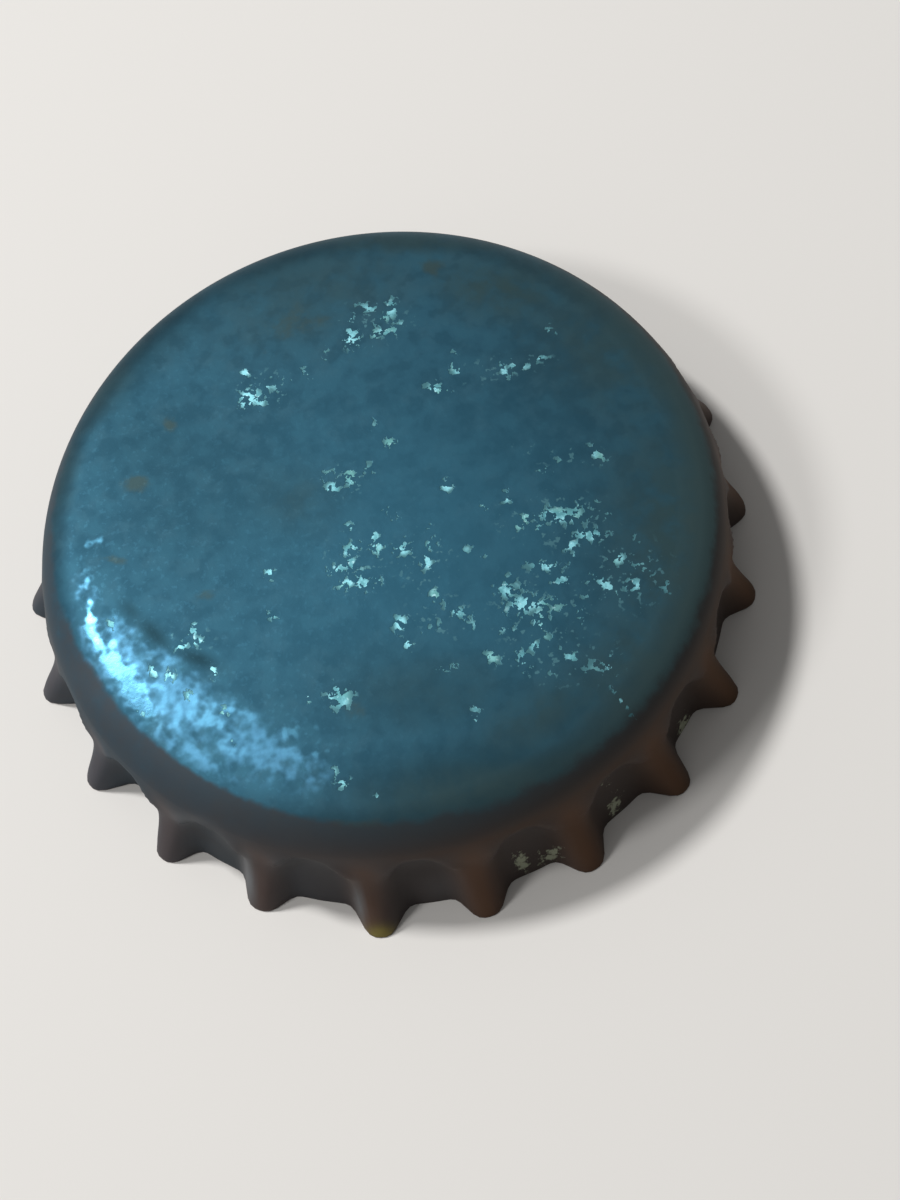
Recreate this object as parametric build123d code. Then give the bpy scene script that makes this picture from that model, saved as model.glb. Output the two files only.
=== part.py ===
from build123d import *
import os
from math import atan2, cos, degrees, hypot, pi, radians, sin, sqrt, tan

# Crown cap for a bottle: a fluted shell stamped from one tinplate disc, with a liner moulded inside it.
# Millimetres and degrees. +Z is up through the panel.
# The origin is the middle of the rim that the cap stands on, and one flute's crest points along +X.

# Shell
sheet_thickness = 0.24
overall_height = 6.0
neck_diameter = 26.75
panel_dome_radius = 170.0
corner_outside_radius = 2.0

# Flutes of the skirt: the crests run straight on from the corner, and the valleys are pressed in between them
skirt_lean = 19.4
flute_count = 21
flute_depth = 1.25
flute_blunting_share = 0.04
flute_growth_power = 0.65
flute_steps = 6
skirt_rings = 5
seam_tolerance = 0.001

# Liner, with its depths taken down from the panel's underside, and its rings set in from the neck
liner_membrane = 0.25
land_width = 4.975
land_depth = 0.78
outer_bead_inset = 1.675
outer_bead_depth = 1.08
outer_bead_rounding = 1.75
inner_bead_inset = 3.975
inner_bead_depth = 0.93
inner_bead_rounding = 0.9

# The outer skin in half section: the dome, and the corner that is tangent to it and to the neck's cylinder.
# The corner stops where it leans as the crests do.
neck_radius = neck_diameter / 2
dome_centre_height = overall_height - panel_dome_radius
corner_centre_radius = neck_radius + sheet_thickness - corner_outside_radius
corner_centre_height = dome_centre_height + sqrt(
    (panel_dome_radius - corner_outside_radius) ** 2 - corner_centre_radius**2
)
corner_sweep = degrees(atan2(corner_centre_height - dome_centre_height, corner_centre_radius))
corner_foot_rise = corner_outside_radius * sin(radians(skirt_lean))
panel_underside = overall_height - sheet_thickness
flute_height = corner_centre_height + corner_foot_rise


def corner_foot_radius(inset):
    """Radius at which the corner's skin, moved in by inset, comes down to the flutes."""
    return corner_centre_radius + sqrt((corner_outside_radius - inset) ** 2 - corner_foot_rise**2)


def cap_section(inset):
    """Half section of what lies under the skin of the panel and corner, moved in by inset."""
    dome = CenterArc((0, dome_centre_height), panel_dome_radius - inset, corner_sweep, 90 - corner_sweep)
    foot_turn = degrees(atan2(corner_foot_rise, corner_foot_radius(inset) - corner_centre_radius))
    corner_centre = (corner_centre_radius, corner_centre_height)
    corner = CenterArc(corner_centre, corner_outside_radius - inset, foot_turn, corner_sweep - foot_turn)
    sides = Polyline(dome @ 1, (0, flute_height), corner @ 0)
    return make_face([dome, corner, sides])


def flute_curve(fall_share, inset):
    """One flute in plan, valley to valley, a share of the way down to the rim, moved in by inset."""
    crest = corner_foot_radius(0) + flute_height * fall_share * tan(radians(skirt_lean))
    depth = flute_depth * fall_share**flute_growth_power
    level_inset = corner_foot_radius(0) - corner_foot_radius(inset)
    points = []
    for step in range(flute_steps + 1):
        phase = 2 * pi * step / flute_steps - pi
        wave = (cos(phase) - flute_blunting_share * cos(3 * phase)) / (1 - flute_blunting_share)
        steepness = (3 * flute_blunting_share * sin(3 * phase) - sin(phase)) / (1 - flute_blunting_share)
        radius = crest - depth * (1 - wave) / 2
        slope = depth * flute_count * steepness / 2
        inward = level_inset / hypot(radius, slope)
        point = Vector(radius * (1 - inward), slope * inward)
        points.append(point.rotate(Axis.Z, degrees(phase / flute_count)))
    valley_turn = 180 / flute_count
    round_the_cap = [Vector(0, 1).rotate(Axis.Z, turn) for turn in (-valley_turn, valley_turn)]
    return Spline(*points, tangents=round_the_cap)


def fluted_ring(fall_share, inset):
    """The skirt's whole outline in plan at that level: one flute, repeated round the cap."""
    flute = flute_curve(fall_share, inset)
    outline = [Rot(0, 0, 360 * place / flute_count) * flute for place in range(flute_count)]
    return Pos(0, 0, flute_height * (1 - fall_share)) * make_face(outline)


def filled_cap(inset):
    """Solid that fills the cap out to its skin, moved in by inset: the plain top on the fluted skirt."""
    top = revolve(Plane.XZ * cap_section(inset), Axis.Z)
    skirt = loft([fluted_ring(ring / (skirt_rings - 1), inset) for ring in range(skirt_rings)])
    return top.fuse(skirt, tol=seam_tolerance)


def bead_section(neck_inset, depth, rounding):
    """Section of a round-footed ring of the liner, its upper part buried in the panel."""
    return Pos(neck_radius - neck_inset, panel_underside - depth + rounding) * Circle(rounding)


def make_shell():
    return filled_cap(0) - filled_cap(sheet_thickness)


def make_liner():
    land_inside_radius = neck_radius - land_width
    under_panel = cap_section(sheet_thickness)
    centre = Pos(0, flute_height) * Rectangle(land_inside_radius, overall_height, align=Align.MIN)
    membrane = (under_panel - cap_section(sheet_thickness + liner_membrane)) & centre
    land_foot = Pos(land_inside_radius, panel_underside - land_depth)
    land = land_foot * Rectangle(land_width, land_depth, align=Align.MIN)
    outer_bead = bead_section(outer_bead_inset, outer_bead_depth, outer_bead_rounding)
    inner_bead = bead_section(inner_bead_inset, inner_bead_depth, inner_bead_rounding)
    sealing_ring = (land + outer_bead + inner_bead) & under_panel
    return revolve(Plane.XZ * (membrane + sealing_ring), Axis.Z)


os.makedirs("parts", exist_ok=True)
export_step(make_shell(), "parts/crown_shell.step")
export_step(make_liner(), "parts/sealing_liner.step")
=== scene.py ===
from math import asin, atan2, cos, pi, radians, sin, sqrt

import bpy
import numpy as np
from mathutils import Matrix, Vector


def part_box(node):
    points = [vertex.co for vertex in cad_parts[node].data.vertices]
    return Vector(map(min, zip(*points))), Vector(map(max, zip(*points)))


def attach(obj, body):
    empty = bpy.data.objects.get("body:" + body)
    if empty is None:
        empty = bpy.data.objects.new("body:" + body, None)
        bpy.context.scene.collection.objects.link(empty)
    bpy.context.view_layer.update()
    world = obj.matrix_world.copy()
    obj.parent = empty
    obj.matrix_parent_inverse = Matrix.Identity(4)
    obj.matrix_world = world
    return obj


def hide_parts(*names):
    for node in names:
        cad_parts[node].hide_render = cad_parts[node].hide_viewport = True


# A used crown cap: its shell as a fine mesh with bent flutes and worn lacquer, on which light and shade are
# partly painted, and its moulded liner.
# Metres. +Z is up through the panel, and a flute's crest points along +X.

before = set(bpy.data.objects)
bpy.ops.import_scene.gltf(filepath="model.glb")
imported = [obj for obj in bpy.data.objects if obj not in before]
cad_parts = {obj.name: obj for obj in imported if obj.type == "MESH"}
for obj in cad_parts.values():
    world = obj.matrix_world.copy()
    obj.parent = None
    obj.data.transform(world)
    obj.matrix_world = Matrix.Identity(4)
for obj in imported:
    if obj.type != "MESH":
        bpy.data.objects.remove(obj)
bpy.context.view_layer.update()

# Shell, whose height and reach come from the frame
shell_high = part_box("crown_shell")[1]
overall_height = shell_high.z
rim_crest_radius = shell_high.x
sheet_thickness = 0.00024
neck_radius = 0.013375
dome_radius = 0.170
corner_radius = 0.002
edge_rounding = 0.00005

# Rounding of the cut edge from the skin to the rim: its points' lift and inset, as shares of edge_rounding
edge_round_shares = ((1, 0), (0.3, 0.3), (0, 1))

# Flutes: narrow crests run on from the corner and dip a little on the way to the rim, and pockets with
# arched tops are pressed in between them
skirt_lean = radians(19.4)
flute_count = 21
flute_depth = 0.00125
flute_blunting_share = 0.09
ridge_power = 3.0
crest_dip = 0.0003
pocket_start_share = 0.08
pocket_arch_share = 0.3
pocket_ease = 0.4
bend_power = 1.7

# How far each crest, and the valley after it, was bent outward at the rim, and the degrees by which the
# crest was turned, in order round the cap from +X
crest_pushes = (
    -0.0004, -0.0002, 0, 0.0001, -0.00005, 0, 0.0001, 0, -0.0001, 0.00005, 0.0001,
    0.0001, 0, 0, 0.00005, 0.0004, 0.0002, 0.0002, 0.0002, 0, -0.00025,
)
valley_pushes = (
    -0.0001, 0, 0.0001, 0, -0.0001, 0, 0.00005, 0.0001, 0, -0.0002, -0.0003,
    -0.0004, -0.0003, 0.0001, 0.00035, 0.0004, 0.00035, 0.0002, -0.00005, -0.00015, -0.0002,
)
crest_turns = (-1.6, -0.6, 0, 0.5, 0, -0.6, 0, 0.4, 0, 0.6, 1.6, 0, 0, 0, 0, 1.4, 0.3, 0, 0.8, 0, 0)

# Flat dent that a lever pressed into the shoulder: its direction round the cap, its inner edge, how wide
# the bend there is, its slope, how much further the sheet rolls down at the corner, and how far past the
# inner edge its smoother lacquer and painted highlight are full
dent_turn = radians(-140)
dent_inset = 0.0087
dent_crease_width = 0.0007
dent_slope = 0.055
dent_roll = 0.00008
smooth_painted_highlight_edge = 0.001

# Mesh of the shell, with the rows of the skirt closer together at its top
columns_per_flute = 22
dome_rows = 100
corner_rows = 18
skirt_rows = 32
row_bunching = 1.2
inside_dome_rows = 20
inside_corner_rows = 8
inside_skirt_rows = 16

# Liner, with its depths taken down from the panel's underside
liner_columns = 168
liner_dome_rows = 12
liner_corner_rows = 10
land_rows = 56
membrane_rows = 14
liner_membrane = 0.00025
land_radius = 0.0084
land_depth = 0.00078
bead_radii = (0.0094, 0.0117)
bead_depths = (0.00093, 0.00108)
bead_roundings = (0.0009, 0.00175)
lip_print_radius = 0.0106
lip_print_width = 0.00035
lip_print_depth = 0.00012
liner_clearance = 0.000005

# Camera, fitted to the photograph
photo_width, photo_height = 900, 1200
photo_focal = 2286.0
cap_pixel = (393.2, 571.2)
view_distance = 0.09362
view_elevation = radians(65.82)
view_azimuth = radians(3.54)
view_roll = radians(-15.04)
sensor_width = 36.0

# Wear, painted light and painted shade, in the photograph's pixels: across, down, half length, half width,
# tilt in degrees, strength
flake_patches = (
    # Right of the middle
    (597, 454, 10, 5, 45, 1.2), (544, 472, 7, 4, 0, 1.1), (507, 498, 5, 8, 0, 1.0),
    (484, 504, 4, 4, 0, 1.0), (560, 515, 24, 8, 0, 1.2), (577, 511, 6, 9, 0, 1.0),
    (523, 521, 12, 5, -50, 1.2), (540, 527, 7, 4, -30, 1.0), (590, 535, 17, 6, 0, 1.2),
    (571, 545, 8, 4, -25, 1.2), (573, 557, 3, 10, 0, 0.9), (597, 504, 4, 6, 0, 0.8),
    (607, 514, 4, 7, 0, 0.7), (544, 566, 17, 5, 5, 1.1), (524, 562, 9, 3, 0, 0.7),
    (560, 580, 8, 6, 0, 1.2), (588, 582, 7, 4, 30, 0.7), (606, 585, 14, 5, 40, 1.2),
    (618, 559, 8, 6, -20, 1.1), (641, 566, 14, 8, 30, 0.8), (634, 585, 9, 8, 0, 1.1),
    (667, 587, 8, 7, 0, 0.8), (637, 538, 6, 4, 0, 0.7), (586, 596, 5, 4, 0, 0.8),
    (506, 590, 10, 8, 30, 1.2), (508, 577, 4, 4, 0, 0.8), (517, 585, 8, 4, 30, 0.8),
    (523, 604, 14, 9, 0, 1.2), (541, 604, 14, 4, -20, 1.1), (540, 620, 7, 13, 0, 1.2),
    (556, 608, 11, 5, -25, 0.9), (580, 615, 4, 10, -15, 0.8), (507, 609, 6, 6, 0, 0.8),
    (512, 617, 9, 4, -45, 0.8), (525, 614, 8, 4, -30, 0.9), (502, 629, 5, 5, 0, 0.9),
    (514, 631, 5, 5, 0, 0.8), (546, 636, 8, 4, 35, 0.9), (534, 646, 6, 6, 0, 1.2),
    (559, 651, 6, 5, 0, 0.8), (571, 657, 8, 5, 0, 1.2), (523, 659, 6, 12, -20, 1.1),
    (492, 657, 8, 6, 30, 1.1), (550, 675, 4, 6, 0, 0.7), (610, 664, 6, 11, -20, 1.0),
    (595, 669, 13, 8, 20, 0.75), (623, 703, 17, 3, 52, 1.0), (560, 461, 5, 4, 0, 0.8),
    # Round the middle
    (375, 427, 4, 9, -30, 0.8), (390, 443, 6, 5, 30, 1.2), (369, 469, 8, 7, 0, 0.8),
    (350, 477, 6, 9, 0, 1.2), (329, 475, 8, 8, 0, 0.8), (333, 488, 7, 6, 0, 1.2),
    (447, 486, 6, 6, 0, 1.2), (484, 505, 5, 5, 0, 0.8), (386, 511, 5, 4, 0, 0.8),
    (395, 518, 5, 5, 0, 0.7), (349, 527, 6, 5, 30, 1.0), (375, 537, 5, 6, 0, 1.2),
    (377, 546, 6, 9, 0, 1.2), (403, 548, 8, 8, 0, 1.2), (351, 549, 10, 6, -30, 1.2),
    (350, 563, 6, 7, 30, 1.2), (338, 569, 12, 5, -15, 1.1), (361, 569, 8, 5, 30, 0.8),
    (376, 578, 4, 8, -35, 1.1), (346, 584, 9, 5, -20, 1.2), (362, 583, 9, 7, 40, 1.2),
    (430, 545, 8, 5, -45, 1.0), (427, 562, 6, 9, 0, 1.1), (429, 530, 3, 9, 0, 0.7),
    (466, 550, 6, 6, 0, 0.9), (486, 556, 5, 4, 0, 0.7), (435, 595, 5, 8, -25, 1.2),
    (448, 605, 6, 5, 0, 0.8), (458, 612, 8, 5, 20, 1.2), (462, 622, 12, 3, 10, 0.8),
    (473, 625, 4, 11, -15, 0.9), (434, 626, 15, 4, -35, 0.8), (400, 623, 7, 9, 0, 1.2),
    (408, 644, 6, 6, 30, 1.1), (442, 671, 6, 5, 0, 0.7), (455, 667, 5, 5, 0, 0.7),
    (339, 697, 12, 12, 0, 1.2), (307, 699, 5, 5, 0, 1.0), (475, 709, 6, 6, 0, 0.9),
    (477, 719, 5, 6, 0, 0.9),
    # Upper part
    (369, 308, 12, 5, 10, 1.0), (391, 309, 6, 11, 0, 1.1), (385, 318, 6, 5, 0, 1.0),
    (401, 324, 6, 4, 0, 0.9), (353, 320, 7, 5, 40, 0.9), (388, 331, 15, 4, -5, 1.2),
    (375, 334, 5, 10, 0, 0.9), (352, 337, 10, 11, 0, 1.15), (326, 353, 3, 8, 15, 0.8),
    (245, 373, 5, 5, 0, 1.2), (306, 373, 4, 9, -35, 0.8), (287, 379, 13, 3, 0, 0.7),
    (267, 384, 5, 8, 0, 1.0), (275, 387, 6, 6, 0, 0.8), (247, 399, 8, 11, 15, 1.2),
    (258, 398, 6, 10, -25, 1.2), (456, 370, 6, 10, -30, 1.0), (454, 353, 7, 4, 0, 0.7),
    (437, 389, 11, 6, 10, 1.2), (504, 371, 4, 10, -15, 1.1), (513, 366, 6, 6, 0, 1.0),
    (525, 367, 10, 4, -10, 0.9), (541, 358, 8, 3, -10, 1.0), (549, 331, 5, 8, -40, 0.8),
    # Left, and down by the dent
    (270, 574, 5, 6, -30, 1.2), (273, 615, 6, 5, 20, 1.0), (193, 631, 4, 9, 20, 1.2),
    (197, 641, 7, 4, 0, 1.2), (182, 646, 7, 4, -30, 1.2), (213, 671, 4, 7, -10, 1.2),
    (154, 671, 4, 7, -20, 1.2), (169, 677, 6, 7, 0, 1.2), (190, 697, 4, 6, -30, 1.2),
    (224, 712, 4, 6, 0, 1.2), (142, 713, 8, 3, 10, 1.2), (112, 624, 4, 5, -30, 1.2),
    (335, 772, 4, 6, 0, 0.9), (343, 783, 8, 6, 0, 1.0), (378, 798, 4, 5, 0, 0.9),
    (232, 740, 4, 5, 0, 0.9),
)
# Scuffs along the shoulder and the dent, made lighter in colour as a painted highlight
scuff_and_highlight_patches = (
    (90, 572, 11, 34, 8, 0.75), (100, 640, 14, 30, -25, 0.6), (150, 690, 34, 20, 30, 0.6),
    (215, 722, 60, 22, 22, 0.6), (285, 738, 50, 20, 14, 0.45),
)
crumb_patches = (
    (555, 520, 60, 30, 0, 1.0), (540, 610, 50, 45, 0, 1.0), (625, 575, 50, 40, 0, 0.9),
    (560, 660, 70, 30, 0, 0.8), (355, 565, 34, 34, 0, 1.0), (425, 560, 40, 40, 0, 0.7),
    (445, 615, 40, 24, 20, 0.9), (340, 480, 30, 20, 0, 0.8), (375, 322, 40, 22, 0, 1.0),
    (265, 388, 34, 20, 0, 0.9), (500, 368, 60, 14, -10, 0.8), (190, 640, 26, 16, 0, 0.9),
    (560, 455, 60, 12, 5, 0.8),
)
polish_patches = (
    (92, 630, 8, 26, -12, 0.7), (118, 668, 11, 34, -36, 1.0), (142, 706, 24, 8, 42, 0.8),
)
# Painted highlight in the dent, where the lacquer is also smoother
smooth_painted_highlight_patches = (
    (90, 575, 14, 40, 6, 0.7), (118, 655, 24, 44, -34, 1.0), (175, 700, 60, 32, 36, 1.0),
    (265, 740, 70, 28, 20, 1.0), (190, 752, 40, 9, 32, 0.9),
)
# Painted shade at the bottom, lower right and left of the panel and along its upper left, and dark marks in
# the dent's crease that are partly dirt and partly painted shade
painted_shade_patches = (
    (480, 780, 170, 45, -10, 0.9), (430, 700, 110, 45, 0, 0.4), (640, 700, 70, 50, -45, 0.5),
    (560, 725, 84, 32, -35, 0.6), (154, 634, 22, 9, 45, 1.0), (198, 659, 22, 8, 20, 1.0),
    (130, 610, 16, 8, 40, 0.7), (145, 352, 110, 26, -48, 0.65), (260, 272, 90, 22, -26, 0.5),
    (66, 470, 14, 50, 12, 0.35), (190, 500, 90, 110, 0, 0.3), (150, 450, 70, 70, 0, 0.38),
)
# Painted light that lightens the middle of the panel
painted_light_patches = ((430, 560, 190, 150, 0, 1.0),)
# Dull lacquer, which also paints shade on the top right, the right edge and the bottom of the panel
dull_and_shade_patches = (
    (500, 290, 70, 30, 10, 1.0), (610, 350, 110, 60, 35, 0.8), (672, 530, 68, 140, 0, 0.95),
    (704, 560, 24, 130, 4, 1.0), (58, 480, 16, 80, 12, 0.45), (106, 388, 16, 56, 34, 0.45),
    (655, 705, 62, 24, -50, 1.0), (590, 768, 60, 20, -32, 1.0), (400, 243, 130, 14, 0, 0.8),
    (640, 660, 90, 60, -40, 0.8), (480, 790, 120, 26, -8, 0.8), (320, 290, 110, 50, -20, 0.6),
    (300, 500, 40, 30, 0, 0.4), (430, 690, 90, 40, 0, 0.3), (540, 714, 66, 28, -33, 0.7),
    (612, 652, 30, 40, 0, 0.5),
)
stain_patches = (
    (138, 484, 15, 9, 0, 1.0), (172, 426, 8, 8, 0, 1.0), (430, 267, 14, 10, 0, 0.8),
    (290, 325, 30, 16, -30, 0.55), (270, 352, 16, 10, 0, 0.6), (325, 318, 14, 10, 0, 0.5),
    (520, 340, 36, 9, -10, 0.6), (116, 560, 16, 5, 10, 0.8), (350, 712, 18, 12, 0, 0.4),
    (205, 595, 10, 8, 0, 0.6), (360, 826, 34, 8, 5, 0.8), (560, 790, 60, 7, -25, 0.6),
    (703, 570, 20, 120, 4, 0.85),
)
crust_patches = (
    (522, 862, 10, 12, -30, 1.0), (551, 855, 16, 8, -20, 0.9), (615, 806, 7, 16, 15, 0.9),
    (684, 727, 7, 14, 20, 1.0), (604, 780, 8, 8, 0, 0.5),
)
residue_patches = ((382, 936, 14, 9, 0, 1.4),)
# Painted highlights on ridges and edges of the skirt, and a lit patch in a pocket
painted_skirt_highlight_patches = (
    (249, 879, 5, 22, -8, 1.0), (359, 903, 5, 18, -8, 0.9), (190, 819, 22, 5, 12, 0.35),
    (224, 840, 22, 6, 45, 0.3), (246, 864, 6, 12, -10, 0.9), (330, 862, 60, 7, 0, 0.14),
    (442, 888, 18, 14, 0, 0.23), (215, 850, 12, 10, 0, 0.12), (90, 690, 14, 40, -40, 0.1),
    (430, 862, 60, 6, 0, 0.08),
)

# Wear, painted light and painted shade on the panel, by the names that its material reads
panel_patches = {
    "scuff_and_highlight": scuff_and_highlight_patches,
    "crumb": crumb_patches,
    "polish": polish_patches,
    "painted_shade": painted_shade_patches,
    "painted_light": painted_light_patches,
    "dull_and_shade": dull_and_shade_patches,
    "stain": stain_patches,
}

# The flakes' patches are made this many times wider, because the noise in them takes their edges away
flake_spread = 1.35

# How squarely a place has to face the photograph to show its patches in full, how steeply the panel's wear
# sets in up the corner, and how steeply the skirt's wear sets in below it
facing_full = 0.3
panel_steepness = 3
skirt_steepness = 4

# Brown of the dirt on the corner and skirt, partly rust and partly a painted warm reflection: its direction
# round the cap, how far round it goes and how gradually, how much stronger it is below the corner, and how
# much weaker in the pockets
brown_turn = radians(-45)
brown_lift = 0.3
brown_span = 1.1
brown_gain = 2
pocket_coolness = 0.25

# Spread of the dirt and painted shade that darken the corner as it turns down, by the dent, on its widest
# side and
# away from both: the tilt of the corner at which it starts, and how much more tilt it takes to cover the
# lacquer
dirt_and_shade_turn = radians(-80)
dirt_and_shade_start_dent = radians(14)
dirt_and_shade_start_wide = radians(22)
dirt_and_shade_start_away = radians(42)
dirt_and_shade_edge_dent = radians(9)
dirt_and_shade_edge_wide = radians(34)
dirt_and_shade_edge_away = radians(24)

# Tilt at which the corner turns into the side of the cap, and how much more until it has done so
side_tilt_start = radians(30)
side_tilt_span = radians(45)

# Side on which the corner's dirt and painted shade are thin, and how much of them is missing there
thin_turn = radians(180)
thin_share = 0.3

# Painted bounce light on the right of the corner: which way it is strongest, and the tilt at which it is
# full
painted_bounce_turn = radians(-15)
painted_bounce_full = radians(30)

# How narrow the sides and crests are that dirt, painted shade and painted bounce light lie on: the higher
# the power, the narrower
dirt_and_shade_power = 4
thin_power = 6
painted_bounce_power = 3
crest_power = 3

# Noises of the lacquer and its wear: grain, detail and roughness
lacquer_noises = {
    "cloud": (0.006, 3.0, 0.5),
    "mottle": (0.0011, 5.0, 0.6),
    "speckle": (0.0005, 4.0, 0.6),
    "fine": (0.00022, 3.0, 0.6),
    "chips": (0.00026, 2.5, 0.55),
    "greening": (0.0016, 2.0, 0.5),
    "patchy": (0.00045, 1.5, 0.5),
    "blotch": (0.0008, 2.0, 0.5),
}
chips_low = 0.34
chips_high = 0.66

# How each kind of wear, painted highlight and painted shade breaks through a noise: which noise, its weight,
# the sum of both at the edge of what shows, and how soft this edge is. Less wear than wear_onset shows only
# in part.
wear_and_light_breaks = {
    "stain": ("mottle", 0.5, 0.78, 0.16),
    "scuff_and_highlight": ("patchy", 0.4, 0.78, 0.12),
    "smooth_painted_highlight": ("patchy", 0.36, 0.70, 0.24),
    "polish": ("patchy", 0.6, 0.72, 0.16),
    "crumb": ("chips", 0.25, 1.1, 0.06),
    "flake": ("chips", 0.8, 1.27, 0.09),
    "dirt_and_shade": ("mottle", 0.9, 0.95, 0.3),
    "crust": ("fine", 0.45, 0.8, 0.08),
}
wear_onset = 0.25

# Wear, painted light and painted shade that show as they are stored, and how much of the colour under them
# each kind takes at most
plain_wear_and_light = ("painted_light", "painted_shade", "painted_bounce", "warmth", "crest", "painted_skirt_highlight", "shade", "residue")
painted_light_strength = 0.55
stain_strength = 0.8
painted_sheen_strength = 0.6
scuff_and_highlight_strength = 0.5
shade_strength = 0.8
dirt_and_shade_strength = 0.92
crumb_strength = 0.7

# Colours of the lacquer, and of what wear and painted light and shade make of it
lacquer_deep = (0.024, 0.079, 0.117, 1)
lacquer_light = (0.029, 0.096, 0.141, 1)
lacquer_mottled = (0.037, 0.104, 0.146, 1)
lacquer_pale = (0.034, 0.112, 0.160, 1)
lacquer_dark = (0.019, 0.066, 0.100, 1)
# Colour of the painted light
lacquer_painted_light = (0.031, 0.118, 0.176, 1)
# Colour of the painted shade
lacquer_painted_shade = (0.014, 0.042, 0.058, 1)
# Dull lacquer, darker as painted shade
lacquer_dull_and_shaded = (0.028, 0.057, 0.061, 1)
lacquer_stained = (0.041, 0.069, 0.069, 1)
# Colour of the painted highlight in the dent
lacquer_painted_sheen = (0.057, 0.168, 0.272, 1)
# Scuffed lacquer, lighter as a painted highlight
lacquer_scuffed_and_highlight = (0.055, 0.175, 0.26, 1)
# Colour of the painted bounce light
lacquer_painted_bounce = (0.053, 0.096, 0.103, 1)
lacquer_crumbs = (0.08, 0.20, 0.235, 1)

# Colours of what lies bare in the flakes
bare_dim = (0.11, 0.33, 0.38, 1)
bare_light = (0.27, 0.64, 0.72, 1)
bare_green = (0.15, 0.37, 0.32, 1)
# Painted glints in the flakes
bare_painted_glint = (0.55, 0.88, 0.95, 1)
bare_thin = (0.06, 0.17, 0.20, 1)

# Colours of the dirt, with those on the crests of the flutes apart, the brown ones partly a painted warm
# reflection, the painted highlights and painted shade on it, and of what is stuck to the skirt
dirt_cold = (0.037, 0.053, 0.067, 1)
# Brown dirt, partly a painted warm reflection
dirt_brown_and_warm_reflection = (0.064, 0.035, 0.021, 1)
dirt_mottled = (0.056, 0.044, 0.038, 1)
crest_dirt_cold = (0.068, 0.061, 0.067, 1)
# Brown on the crests, partly a painted warm reflection
crest_dirt_brown_and_warm_reflection = (0.093, 0.043, 0.019, 1)
# Colour of the painted highlights on the skirt
dirt_painted_highlight = (0.13, 0.13, 0.133, 1)
dirt_shaded = (0.022, 0.031, 0.036, 1)
crust_colour = (0.32, 0.34, 0.25, 1)
residue_colour = (0.19, 0.155, 0.045, 1)

# How metallic, rough and high the lacquer is, and what wear and painted light and shade make of that. What
# comes later lies on top.
lacquer_metal = 0.95
worn_metal = {"dull_and_shade": 0.4, "painted_bounce": 0.3, "dirt_and_shade": 0.25, "flake": 0.45, "crust": 0.0}
lacquer_roughness = 0.6
speck_roughness = 0.55
worn_roughness = {"smooth_painted_highlight": 0.45, "scuff_and_highlight": 0.4, "polish": 0.26, "dirt_and_shade": 0.6, "flake": 0.5, "crust": 0.9}
lacquer_relief = 0.25
worn_relief = {"flake": -0.5, "crust": 2.0}
relief_height = 0.00002
lacquer_bump = 0.6

# Cut edge and inside of the shell
edge_grain = 0.0004
edge_dark = (0.030, 0.020, 0.014, 1)
edge_light = (0.085, 0.048, 0.028, 1)
varnish_grain = 0.0014
varnish_dark = (0.30, 0.25, 0.16, 1)
varnish_light = (0.38, 0.33, 0.23, 1)
varnish_metal = 0.85
varnish_roughness = 0.38
rust_height = 0.0032
rust_colour = (0.075, 0.036, 0.018, 1)
rust_metal = 0.1
rust_roughness = 0.8

# Surface of the liner, with the tide mark where the bottle's lip pressed
liner_cloud_grain = 0.003
liner_fine_grain = 0.0003
liner_dark = (0.62, 0.59, 0.50, 1)
liner_light = (0.70, 0.68, 0.61, 1)
liner_specks = (0.25, 0.18, 0.11, 1)
liner_bump = 0.35
tide_wander = 0.0012
tide_start = 0.0001
tide_end = 0.0009
tide_colour = (0.30, 0.20, 0.11, 1)

# Lamps
key_turn = radians(140)
key_elevation = radians(54)
key_distance = 0.5
key_width = 0.075
key_power = 1.9
side_turn = radians(186)
side_elevation = radians(47)
side_distance = 0.5
side_width = 0.1
side_power = 0.75

# Surroundings, which are brighter in one direction, and floor
bright_side = (-0.80, 0.35, 0.49)
bright_side_strength = 0.32
dim_side_strength = 0.13
floor_width = 3.0
floor_drop = 0.00001
floor_colour = (0.72, 0.70, 0.67, 1)

# The outer skin in half section
dome_centre_height = overall_height - dome_radius
corner_centre_radius = neck_radius + sheet_thickness - corner_radius
corner_centre_rise = sqrt((dome_radius - corner_radius) ** 2 - corner_centre_radius**2)
corner_centre_height = dome_centre_height + corner_centre_rise
corner_sweep = atan2(corner_centre_height - dome_centre_height, corner_centre_radius)
shoulder_radius = dome_radius * cos(corner_sweep)
corner_foot_rise = corner_radius * sin(skirt_lean)
foot_radius = corner_centre_radius + corner_radius * cos(skirt_lean)
inner_foot_radius = corner_centre_radius + sqrt((corner_radius - sheet_thickness) ** 2 - corner_foot_rise**2)
flute_height = corner_centre_height + corner_foot_rise
skirt_flare = rim_crest_radius - foot_radius
skirt_inset = foot_radius - inner_foot_radius
panel_underside = overall_height - sheet_thickness

columns = flute_count * columns_per_flute
turns = np.arange(columns) * 2 * pi / columns


def camera_axes():
    """The photograph's right, up and back directions and the eye's place."""
    level_back = cos(view_elevation)
    back = Vector((sin(view_azimuth) * level_back, -cos(view_azimuth) * level_back, sin(view_elevation)))
    level = Vector((cos(view_azimuth), sin(view_azimuth), 0))
    upright = back.cross(level)
    right = cos(view_roll) * level + sin(view_roll) * upright
    up = cos(view_roll) * upright - sin(view_roll) * level
    aside = (cap_pixel[0] - photo_width / 2) / photo_focal * view_distance
    below = (cap_pixel[1] - photo_height / 2) / photo_focal * view_distance
    eye = back * view_distance - right * aside + up * below
    return right, up, back, eye


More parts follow.
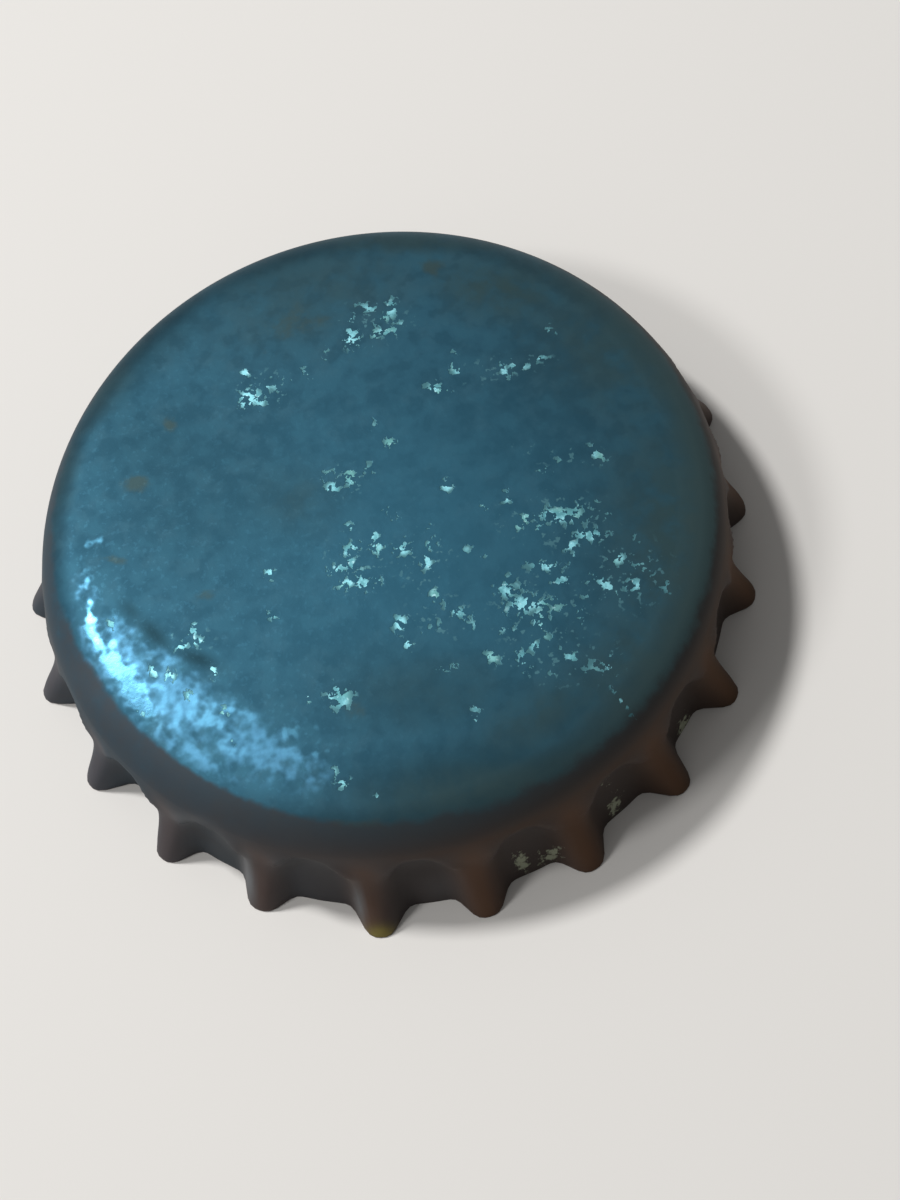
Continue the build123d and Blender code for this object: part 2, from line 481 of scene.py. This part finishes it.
def photo_pixels(points):
    """Where points of the cap lie in the photograph, in pixels across and down."""
    right, up, back, eye = (np.array(axis) for axis in camera_axes())
    seen = points - eye
    depth = -(seen @ back)
    across = photo_width / 2 + photo_focal * (seen @ right) / depth
    down = photo_height / 2 - photo_focal * (seen @ up) / depth
    return across, down


def patch_mask(points, patches, spread=1.0):
    """How much of the patches lies on each point, with soft edges. spread widens every patch."""
    across, down = photo_pixels(points)
    mask = np.zeros(len(points))
    for middle_across, middle_down, half_length, half_width, tilt, strength in patches:
        turn = radians(tilt)
        along = (across - middle_across) * cos(turn) + (down - middle_down) * sin(turn)
        beside = (down - middle_down) * cos(turn) - (across - middle_across) * sin(turn)
        off = (along / half_length) ** 2 + (beside / half_width) ** 2
        patch = strength * np.exp(-off / spread**2)
        mask = np.maximum(mask, patch)
    return mask


def round_the_cap(values, start):
    """Values given once for each flute, eased from one to the next at each column."""
    place = turns / (2 * pi) * flute_count - start
    step = np.floor(place).astype(int)
    ease = (1 - np.cos(pi * (place - step))) / 2
    given = np.array(values)
    return given[step % flute_count] * (1 - ease) + given[(step + 1) % flute_count] * ease


crest_push = round_the_cap(crest_pushes, 0)
valley_push = round_the_cap(valley_pushes, 0.5)
crest_turn = np.radians(round_the_cap(crest_turns, 0))
phase = turns * flute_count
flute_wave = (np.cos(phase) - flute_blunting_share * np.cos(3 * phase)) / (1 - flute_blunting_share)


def past_crease(points):
    """How far each point lies past the dent's inner edge, and less than 0 before it."""
    return points[:, 0] * cos(dent_turn) + points[:, 1] * sin(dent_turn) - dent_inset


def press_dent(row, skin_depth):
    """A row of the panel or corner with the dent in it. Its skin lies skin_depth under the outer one."""
    past = np.clip(past_crease(row), 0, None)
    share = past / (shoulder_radius - dent_inset)
    drop = dent_slope * past**2 / (past + dent_crease_width) + dent_roll * share**2
    corner_top = corner_centre_height + corner_radius - skin_depth
    above = np.clip((row[:, 2] - flute_height) / (corner_top - flute_height), 0, 1)
    return row - np.column_stack((0 * drop, 0 * drop, drop * above))


def top_row(radius, height, inset):
    """A row of the panel or corner, whose skin lies inset under the outer one."""
    level = np.full(columns, height)
    return press_dent(np.column_stack((radius * np.cos(turns), radius * np.sin(turns), level)), inset)


def skirt_row(fall_share, inset):
    """A row of the fluted skirt, a share of the way down to the rim, moved in level by inset."""
    swell = (1 + flute_wave) / 2
    ridge = swell**ridge_power
    pocket_top = pocket_start_share + pocket_arch_share * swell
    past_top = np.clip((fall_share - pocket_top) / (1 - pocket_top), 0, 1)
    pressed_in = flute_depth * (1 - ridge) * past_top * (1 + pocket_ease) / (past_top + pocket_ease)
    bend = (valley_push + (crest_push - valley_push) * ridge) * fall_share**bend_power
    dip = crest_dip * ridge * sin(pi * fall_share) ** 2
    reach = foot_radius + skirt_flare * fall_share - pressed_in - dip + bend
    turn = turns + crest_turn * fall_share
    across = reach * np.cos(turn)
    along = reach * np.sin(turn)
    run_across = np.roll(across, -1) - np.roll(across, 1)
    run_along = np.roll(along, -1) - np.roll(along, 1)
    run = np.hypot(run_across, run_along)
    level = np.full(columns, flute_height * (1 - fall_share))
    return np.column_stack((across - inset * run_along / run, along + inset * run_across / run, level))


def top_profile(dome_count, corner_count, inset):
    """Radius and height of each row of the skin, moved in by inset, from near the middle to the flutes."""
    dome, corner = dome_radius - inset, corner_radius - inset
    places = []
    for radius in np.linspace(0, dome * cos(corner_sweep), dome_count + 1)[1:]:
        places.append((radius, dome_centre_height + sqrt(dome**2 - radius**2)))
    for angle in np.linspace(corner_sweep, asin(corner_foot_rise / corner), corner_count + 1)[1:]:
        radius = corner_centre_radius + corner * cos(angle)
        places.append((radius, corner_centre_height + corner * sin(angle)))
    return places


def make_mesh(name, rows, first_pole, last_pole, strips):
    """A closed mesh of level rows between two poles. strips holds the number of each strip's material."""
    count = len(rows[0])
    points = [tuple(point) for row in rows for point in row] + [first_pole, last_pole]
    last = (len(rows) - 1) * count
    steps = [(column, (column + 1) % count) for column in range(count)]
    faces = [(len(points) - 2, column, following) for column, following in steps]
    for upper in range(0, last, count):
        lower = upper + count
        for column, following in steps:
            faces.append((upper + column, lower + column, lower + following, upper + following))
    for column, following in steps:
        faces.append((len(points) - 1, last + following, last + column))
    mesh = bpy.data.meshes.new(name)
    mesh.from_pydata(points, [], faces)
    mesh.polygons.foreach_set("use_smooth", [True] * len(faces))
    mesh.polygons.foreach_set("material_index", np.repeat(strips, count))
    mesh.update()
    piece = bpy.data.objects.new(name, mesh)
    bpy.context.scene.collection.objects.link(piece)
    return piece


def make_shell():
    """The shell: lacquered outside, round the cut edge, and up the varnished inside."""
    outside, edge, inside = 0, 1, 2
    edge_share = edge_rounding / flute_height
    rows = [top_row(*place, 0) for place in top_profile(dome_rows, corner_rows, 0)]
    for step_share in np.linspace(0, 1, skirt_rows + 1)[1:]:
        rows.append(skirt_row(step_share**row_bunching * (1 - edge_share), 0))
    strips = [outside] * len(rows)
    for lift_share, inset_share in edge_round_shares[1:]:
        rows.append(skirt_row(1 - lift_share * edge_share, inset_share * edge_rounding))
    for lift_share, inset_share in reversed(edge_round_shares):
        rows.append(skirt_row(1 - lift_share * edge_share, skirt_inset - inset_share * edge_rounding))
    strips += [edge] * (len(rows) - len(strips))
    for fall_share in np.linspace(1 - edge_share, 0, inside_skirt_rows + 1)[1:]:
        rows.append(skirt_row(fall_share, skirt_inset))
    for place in reversed(top_profile(inside_dome_rows, inside_corner_rows, sheet_thickness)[:-1]):
        rows.append(top_row(*place, sheet_thickness))
    strips += [inside] * (len(rows) + 1 - len(strips))
    return make_mesh("shell", rows, (0, 0, overall_height), (0, 0, panel_underside), strips)


def liner_depth(radius):
    """How deep the liner's foot lies under the panel's middle at a radius."""
    dome_sag = dome_radius - sqrt(dome_radius**2 - radius**2)
    depth = dome_sag + liner_membrane
    if radius >= land_radius:
        depth = max(depth, land_depth)
        for middle, bead_depth, rounding in zip(bead_radii, bead_depths, bead_roundings):
            off = min(abs(radius - middle), rounding)
            depth = max(depth, bead_depth - rounding + sqrt(rounding**2 - off**2))
    return depth - lip_print_depth * np.exp(-(((radius - lip_print_radius) / lip_print_width) ** 2))


def make_liner():
    """The liner: under the panel and corner, then over its land and beads to the thin middle."""
    inner_corner = corner_radius - sheet_thickness
    land_height = panel_underside - land_depth
    land_reach = corner_centre_radius + sqrt(inner_corner**2 - (land_height - corner_centre_height) ** 2)
    liner_turns = np.arange(liner_columns) * 2 * pi / liner_columns
    ring = np.column_stack((np.cos(liner_turns), np.sin(liner_turns)))
    inset = sheet_thickness + liner_clearance
    section = []
    for radius, height in top_profile(liner_dome_rows, liner_corner_rows, inset):
        if height > land_height:
            section.append((radius, height))
    for radius in np.linspace(land_reach - liner_clearance, land_radius, land_rows):
        section.append((radius, panel_underside - liner_depth(radius)))
    for radius in np.linspace(land_radius - liner_clearance, 0, membrane_rows)[:-1]:
        section.append((radius, panel_underside - liner_depth(radius)))
    rows = []
    for radius, height in section:
        level = np.full(liner_columns, height)
        rows.append(press_dent(np.column_stack((ring * radius, level)), inset))
    top = (0, 0, panel_underside - liner_clearance)
    bottom = (0, 0, panel_underside - liner_membrane)
    return make_mesh("liner", rows, top, bottom, [0] * (len(rows) + 1))


def set_attribute(piece, name, values):
    """Gives the mesh a number at each point, which its material reads by name."""
    layer = piece.data.attributes.new(name, "FLOAT", "POINT")
    layer.data.foreach_set("value", np.asarray(values, np.float32))


def read_points(mesh, kind):
    """The mesh's points or their normals, one in each row."""
    values = np.zeros(len(mesh.vertices) * 3)
    mesh.vertices.foreach_get(kind, values)
    return values.reshape(-1, 3)


def lobe(turn, middle, power):
    """1 in the direction middle round the cap, and less the further a place is turned away from it."""
    return ((1 + np.cos(turn - middle)) / 2) ** power


def paint_patches(shell, points, facing, panel):
    """Stores the wear, painted light, painted shade and painted highlights that lie in patches on the panel,
    in the dent and on the skirt.
    """
    in_dent = np.clip(past_crease(points) / smooth_painted_highlight_edge, 0, 1) * panel
    set_attribute(shell, "flake", patch_mask(points, flake_patches, flake_spread) * panel)
    for name, patches in panel_patches.items():
        set_attribute(shell, name, patch_mask(points, patches) * panel)
    # Painted highlight in the dent, with smoother lacquer there
    set_attribute(shell, "smooth_painted_highlight", patch_mask(points, smooth_painted_highlight_patches) * in_dent)
    set_attribute(shell, "crust", patch_mask(points, crust_patches) * facing)
    set_attribute(shell, "painted_skirt_highlight", patch_mask(points, painted_skirt_highlight_patches) * facing)
    set_attribute(shell, "residue", np.minimum(patch_mask(points, residue_patches), 1))


def paint_dirt_and_shade(shell, points, corner_share):
    """Stores the dirt and painted shade of the corner and skirt, how brown it is, and the painted bounce
    light on the right.
    """
    turn = np.arctan2(points[:, 1], points[:, 0])
    reach = np.hypot(points[:, 0], points[:, 1])
    corner_tilt = np.arcsin(np.clip((reach - corner_centre_radius) / corner_radius, 0, 1))
    tilt = np.where(corner_share > 0, corner_tilt, pi / 2)
    on_side = np.clip((tilt - side_tilt_start) / side_tilt_span, 0, 1)
    on_skirt = np.clip((flute_height - points[:, 2]) / flute_height * skirt_steepness, 0, 1)

    by_dent = lobe(turn, dent_turn, dirt_and_shade_power)
    by_wide = lobe(turn, dirt_and_shade_turn, dirt_and_shade_power) * (1 - by_dent)
    start = dirt_and_shade_start_away + (dirt_and_shade_start_dent - dirt_and_shade_start_away) * by_dent
    start += (dirt_and_shade_start_wide - dirt_and_shade_start_away) * by_wide
    edge = dirt_and_shade_edge_away + (dirt_and_shade_edge_dent - dirt_and_shade_edge_away) * by_dent
    edge += (dirt_and_shade_edge_wide - dirt_and_shade_edge_away) * by_wide
    cover = 1 - thin_share * lobe(turn, thin_turn, thin_power) * (1 - on_side)
    # Dirt with painted shade, darkening the corner and skirt as they turn down
    set_attribute(shell, "dirt_and_shade", np.clip((tilt - start) / edge, 0, 1) * cover)

    crest = lobe(flute_count * turn, 0, crest_power)
    cool = pocket_coolness * on_skirt * (1 - crest)
    # Brown on one side, partly rust and partly a painted warm reflection
    brown = np.clip((np.cos(turn - brown_turn) + brown_lift) / brown_span, 0, 1)
    warmth = brown * (1 + brown_gain * on_side) / (1 + brown_gain) * (1 - cool)
    set_attribute(shell, "crest", on_skirt * crest)
    set_attribute(shell, "warmth", warmth)
    set_attribute(shell, "shade", brown * (1 - on_side))
    # Painted bounce light on the right of the corner
    painted_bounce = lobe(turn, painted_bounce_turn, painted_bounce_power) * np.clip(tilt / painted_bounce_full, 0, 1)
    set_attribute(shell, "painted_bounce", painted_bounce)


def paint_wear_and_light(shell):
    """Stores on the shell where its lacquer is flaked, scuffed, dulled, stained or crusted, and where light
    and shade are painted on it.
    """
    points = read_points(shell.data, "co")
    normals = read_points(shell.data, "normal")
    facing = np.clip(normals @ np.array(camera_axes()[2]) / facing_full, 0, 1)
    corner_share = (points[:, 2] - corner_centre_height) / corner_radius
    panel = facing * np.clip(corner_share * panel_steepness, 0, 1)
    paint_patches(shell, points, facing, panel)
    paint_dirt_and_shade(shell, points, corner_share)


def plug(tree, socket, value):
    """Links a socket to another node's output, or sets it to a constant."""
    if isinstance(value, bpy.types.NodeSocket):
        tree.links.new(value, socket)
    else:
        socket.default_value = value


def add(tree, kind, inputs, **settings):
    """A new shader node with its settings and inputs."""
    made = tree.nodes.new(kind)
    for name, value in settings.items():
        setattr(made, name, value)
    for name, value in inputs.items():
        plug(tree, made.inputs[name], value)
    return made


def new_material(name):
    """A new material, its nodes and the shader among them."""
    material = bpy.data.materials.new(name)
    material.use_nodes = True
    return material, material.node_tree, material.node_tree.nodes["Principled BSDF"]


def place_of(tree):
    """The place on the object."""
    return add(tree, "ShaderNodeTexCoord", {}).outputs["Object"]


def noise(tree, place, grain, detail=3.0, roughness=0.5):
    """Smooth random values with features about one grain across, in metres."""
    inputs = {"Vector": place, "Scale": 1 / grain, "Detail": detail, "Roughness": roughness}
    return add(tree, "ShaderNodeTexNoise", inputs).outputs["Fac"]


def stored(tree, name):
    """The number that the mesh stores under a name."""
    return add(tree, "ShaderNodeAttribute", {}, attribute_name=name).outputs["Fac"]


def rise(tree, value, start, end, floor=0.0, ceiling=1.0):
    """The value eased from floor at start to ceiling at end."""
    inputs = {"Value": value, "From Min": start, "From Max": end, "To Min": floor, "To Max": ceiling}
    return add(tree, "ShaderNodeMapRange", inputs, interpolation_type="SMOOTHSTEP").outputs["Result"]


def sums(tree, kind, first, second=0.0):
    """A sum of the kind that a math node names."""
    return add(tree, "ShaderNodeMath", {0: first, 1: second}, operation=kind).outputs["Value"]


def part_of(tree, value, share):
    """A share of the value."""
    return sums(tree, "MULTIPLY", value, share)


def worn(tree, name, grain_noise, weight, edge, softness):
    """Where one of the stored kinds of wear and painted light breaks through the grain of a noise."""
    amount = stored(tree, name)
    total = sums(tree, "ADD", part_of(tree, amount, weight), grain_noise)
    breaks = rise(tree, total, edge - softness, edge + softness)
    return sums(tree, "MULTIPLY", breaks, rise(tree, amount, 0.0, wear_onset))


def blend_value(tree, share, first, second):
    """Two values mixed: a mix node keeps its values at places 2 and 3."""
    return add(tree, "ShaderNodeMix", {0: share, 2: first, 3: second}, data_type="FLOAT").outputs[0]


def blend_colour(tree, share, first, second):
    """Two colours mixed: a mix node keeps its colours at places 6 and 7, and the mixed one at 2."""
    return add(tree, "ShaderNodeMix", {0: share, 6: first, 7: second}, data_type="RGBA").outputs[2]


def paint_over(tree, colour, layers):
    """The colour under layers of paint, each with its share and colour, from the lowest up."""
    for share, layer_colour in layers:
        colour = blend_colour(tree, share, colour, layer_colour)
    return colour


def make_noises(tree):
    """The noises of the lacquer and its wear, by name."""
    place = place_of(tree)
    grain = {name: noise(tree, place, *settings) for name, settings in lacquer_noises.items()}
    grain["chips"] = rise(tree, grain["chips"], chips_low, chips_high)
    return grain


def make_wear_and_light(tree, grain):
    """How much of each kind of wear, painted light and painted shade shows, by name."""
    wear = {name: stored(tree, name) for name in plain_wear_and_light}
    for name, (grain_name, weight, edge, softness) in wear_and_light_breaks.items():
        wear[name] = worn(tree, name, grain[grain_name], weight, edge, softness)
    broken = rise(tree, grain["mottle"], start=0.25, end=0.6, floor=0.45, ceiling=0.95)
    wear["dull_and_shade"] = sums(tree, "MULTIPLY", stored(tree, "dull_and_shade"), broken)
    return wear


def lacquer_colour(tree, grain, wear):
    """Mottled lacquer, dulled, stained and scuffed in places, with painted light, painted shade, painted
    highlights and a painted bounce.
    """
    cloudy = rise(tree, grain["cloud"], start=0.35, end=0.65)
    layers = (
        (rise(tree, grain["mottle"], start=0.45, end=0.7, ceiling=0.7), lacquer_mottled),
        (rise(tree, grain["blotch"], start=0.5, end=0.64, ceiling=0.45), lacquer_pale),
        (rise(tree, grain["blotch"], start=0.5, end=0.36, ceiling=0.55), lacquer_dark),
        (part_of(tree, wear["painted_light"], painted_light_strength), lacquer_painted_light),
        (wear["painted_shade"], lacquer_painted_shade),
        (wear["dull_and_shade"], lacquer_dull_and_shaded),
        (part_of(tree, wear["stain"], stain_strength), lacquer_stained),
        (part_of(tree, wear["smooth_painted_highlight"], painted_sheen_strength), lacquer_painted_sheen),
        (part_of(tree, wear["scuff_and_highlight"], scuff_and_highlight_strength), lacquer_scuffed_and_highlight),
        (wear["painted_bounce"], lacquer_painted_bounce),
    )
    return paint_over(tree, blend_colour(tree, cloudy, lacquer_deep, lacquer_light), layers)


def dirt_colour(tree, grain, wear):
    """Dirt, cold or brown, the brown partly a painted warm reflection, with the crests of the flutes apart,
    painted highlights and painted shade in places.
    """
    dirt = blend_colour(tree, wear["warmth"], dirt_cold, dirt_brown_and_warm_reflection)
    layers = (
        (rise(tree, grain["mottle"], start=0.42, end=0.7, ceiling=0.3), dirt_mottled),
        (wear["crest"], blend_colour(tree, wear["warmth"], crest_dirt_cold, crest_dirt_brown_and_warm_reflection)),
        (wear["painted_skirt_highlight"], dirt_painted_highlight),
        (part_of(tree, wear["shade"], shade_strength), dirt_shaded),
    )
    return paint_over(tree, dirt, layers)


def bare_colour(tree, grain):
    """What lies bare in the flakes, greenish in places, with painted glints, and dim where a flake is thin.
    """
    speckled = rise(tree, grain["speckle"], start=0.4, end=0.62)
    layers = (
        (rise(tree, grain["greening"], start=0.52, end=0.62, ceiling=0.5), bare_green),
        (rise(tree, grain["fine"], start=0.6, end=0.68, ceiling=0.6), bare_painted_glint),
    )
    bare = paint_over(tree, blend_colour(tree, speckled, bare_dim, bare_light), layers)
    return blend_colour(tree, rise(tree, stored(tree, "flake"), start=0.55, end=1.05), bare_thin, bare)


def lacquer_material():
    """Metallic blue-green lacquer with flakes, scuffs, stains and crusts, dirt and painted shade on the
    corner and skirt, and painted light, highlights and bounce.
    """
    material, tree, shader = new_material("worn_lacquer_with_painted_light")
    grain = make_noises(tree)
    wear = make_wear_and_light(tree, grain)

    layers = (
        (part_of(tree, wear["dirt_and_shade"], dirt_and_shade_strength), dirt_colour(tree, grain, wear)),
        (part_of(tree, wear["crumb"], crumb_strength), lacquer_crumbs),
        (wear["flake"], bare_colour(tree, grain)),
        (wear["crust"], crust_colour),
        (wear["residue"], residue_colour),
    )
    colour = paint_over(tree, lacquer_colour(tree, grain, wear), layers)

    metal = lacquer_metal
    for name, value in worn_metal.items():
        metal = blend_value(tree, wear[name], metal, value)
    specks = rise(tree, grain["fine"], start=0.56, end=0.66)
    roughness = blend_value(tree, specks, lacquer_roughness, speck_roughness)
    for name, value in worn_roughness.items():
        roughness = blend_value(tree, wear[name], roughness, value)
    relief = part_of(tree, grain["fine"], lacquer_relief)
    for name, height in worn_relief.items():
        relief = sums(tree, "ADD", relief, part_of(tree, wear[name], height))
    bump_inputs = {"Height": relief, "Distance": relief_height, "Strength": lacquer_bump}
    bump = add(tree, "ShaderNodeBump", bump_inputs)

    plug(tree, shader.inputs["Base Color"], colour)
    plug(tree, shader.inputs["Metallic"], metal)
    plug(tree, shader.inputs["Roughness"], roughness)
    plug(tree, shader.inputs["Normal"], bump.outputs["Normal"])
    shader.inputs["Specular IOR Level"].default_value = 0.12
    return material


def edge_material():
    """Cut edge of the tinplate, gone brown."""
    material, tree, shader = new_material("cut_edge")
    spots = noise(tree, place_of(tree), edge_grain, detail=4.0, roughness=0.6)
    colour = blend_colour(tree, rise(tree, spots, start=0.35, end=0.65), edge_dark, edge_light)
    roughness = rise(tree, spots, start=0.3, end=0.7, floor=0.6, ceiling=0.85)
    plug(tree, shader.inputs["Base Color"], colour)
    plug(tree, shader.inputs["Roughness"], roughness)
    shader.inputs["Metallic"].default_value = 0.3
    return material


def inside_material():
    """Varnished tin inside the shell, dulled, with rust creeping up from the rim."""
    material, tree, shader = new_material("inside_varnish")
    place = place_of(tree)
    mottle = noise(tree, place, varnish_grain, detail=5.0, roughness=0.6)
    height = add(tree, "ShaderNodeSeparateXYZ", {"Vector": place}).outputs["Z"]
    low = rise(tree, height, start=0.0, end=rust_height, floor=0.45, ceiling=0.0)
    rust = rise(tree, sums(tree, "ADD", mottle, low), start=0.72, end=0.9)
    varnish = blend_colour(tree, rise(tree, mottle, start=0.4, end=0.6), varnish_dark, varnish_light)
    plug(tree, shader.inputs["Base Color"], blend_colour(tree, rust, varnish, rust_colour))
    plug(tree, shader.inputs["Metallic"], blend_value(tree, rust, varnish_metal, rust_metal))
    plug(tree, shader.inputs["Roughness"], blend_value(tree, rust, varnish_roughness, rust_roughness))
    return material


def liner_material():
    """Off-white moulded liner, a little yellowed, with a brown tide mark where the bottle's lip pressed."""
    material, tree, shader = new_material("liner_compound")
    place = place_of(tree)
    cloud = noise(tree, place, liner_cloud_grain, detail=4.0)
    fine = noise(tree, place, liner_fine_grain, detail=3.0)
    parts = add(tree, "ShaderNodeSeparateXYZ", {"Vector": place})
    squares = [sums(tree, "POWER", parts.outputs[axis], 2.0) for axis in ("X", "Y")]
    reach = sums(tree, "SQRT", sums(tree, "ADD", *squares))
    wander = part_of(tree, sums(tree, "SUBTRACT", cloud, 0.5), tide_wander)
    off_ring = sums(tree, "SUBTRACT", sums(tree, "ADD", reach, wander), lip_print_radius)
    ring = sums(tree, "ABSOLUTE", off_ring)
    layers = (
        (rise(tree, ring, tide_start, tide_end, floor=0.55, ceiling=0.0), tide_colour),
        (rise(tree, fine, start=0.66, end=0.74, ceiling=0.5), liner_specks),
    )
    cloudy = rise(tree, cloud, start=0.35, end=0.65)
    colour = paint_over(tree, blend_colour(tree, cloudy, liner_dark, liner_light), layers)
    roughness = rise(tree, cloud, start=0.3, end=0.7, floor=0.42, ceiling=0.58)
    bump_inputs = {"Height": fine, "Distance": relief_height, "Strength": liner_bump}
    bump = add(tree, "ShaderNodeBump", bump_inputs)
    plug(tree, shader.inputs["Base Color"], colour)
    plug(tree, shader.inputs["Roughness"], roughness)
    plug(tree, shader.inputs["Normal"], bump.outputs["Normal"])
    return material


def floor_material():
    """Plain, pale and matt."""
    material, _, shader = new_material("pale_floor")
    shader.inputs["Base Color"].default_value = floor_colour
    shader.inputs["Roughness"].default_value = 0.8
    shader.inputs["Specular IOR Level"].default_value = 0.2
    return material


def make_floor():
    """The floor that the cap stands on, which isn't part of it."""
    half = floor_width / 2
    corners = []
    for across, along in ((-1, -1), (1, -1), (1, 1), (-1, 1)):
        corners.append((across * half, along * half, -floor_drop))
    mesh = bpy.data.meshes.new("floor")
    mesh.from_pydata(corners, [], [(0, 1, 2, 3)])
    mesh.materials.append(floor_material())
    floor = bpy.data.objects.new("floor", mesh)
    bpy.context.scene.collection.objects.link(floor)


def make_lamp(name, turn, elevation, distance, width, power):
    """A round lamp that shines at the cap."""
    data = bpy.data.lights.new(name, "AREA")
    data.shape = "DISK"
    data.size = width
    data.energy = power
    lamp = bpy.data.objects.new(name, data)
    level = cos(elevation)
    away = Vector((level * cos(turn), level * sin(turn), sin(elevation)))
    lamp.location = away * distance
    lamp.rotation_euler = away.to_track_quat("Z", "Y").to_euler()
    bpy.context.scene.collection.objects.link(lamp)


def make_world():
    """Soft studio surroundings, brighter on the side of the lamps."""
    world = bpy.data.worlds.new("studio")
    world.use_nodes = True
    tree = world.node_tree
    direction = add(tree, "ShaderNodeTexCoord", {}).outputs["Generated"]
    toward = add(tree, "ShaderNodeVectorMath", {0: direction, 1: bright_side}, operation="DOT_PRODUCT")
    toward_bright = toward.outputs["Value"]
    strength = rise(tree, toward_bright, -0.3, 0.95, dim_side_strength, bright_side_strength)
    background = tree.nodes["Background"]
    background.inputs["Color"].default_value = (1, 1, 1, 1)
    plug(tree, background.inputs["Strength"], strength)
    bpy.context.scene.world = world


def make_camera():
    """The photograph's camera."""
    right, up, back, eye = camera_axes()
    data = bpy.data.cameras.new("camera")
    data.sensor_width = sensor_width
    data.lens = photo_focal / photo_height * sensor_width
    data.clip_start = view_distance / 100
    camera = bpy.data.objects.new("camera", data)
    matrix = Matrix((right, up, back)).transposed().to_4x4()
    matrix.translation = eye
    camera.matrix_world = matrix
    bpy.context.scene.collection.objects.link(camera)
    bpy.context.scene.camera = camera


shell = make_shell()
paint_wear_and_light(shell)
for make_material in (lacquer_material, edge_material, inside_material):
    shell.data.materials.append(make_material())
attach(shell, "root")
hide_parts("crown_shell")

liner = make_liner()
liner.data.materials.append(liner_material())
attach(liner, "root")
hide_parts("sealing_liner")

make_floor()
make_world()
make_lamp("key", key_turn, key_elevation, key_distance, key_width, key_power)
make_lamp("side", side_turn, side_elevation, side_distance, side_width, side_power)
make_camera()
bpy.context.scene.view_settings.view_transform = "Standard"
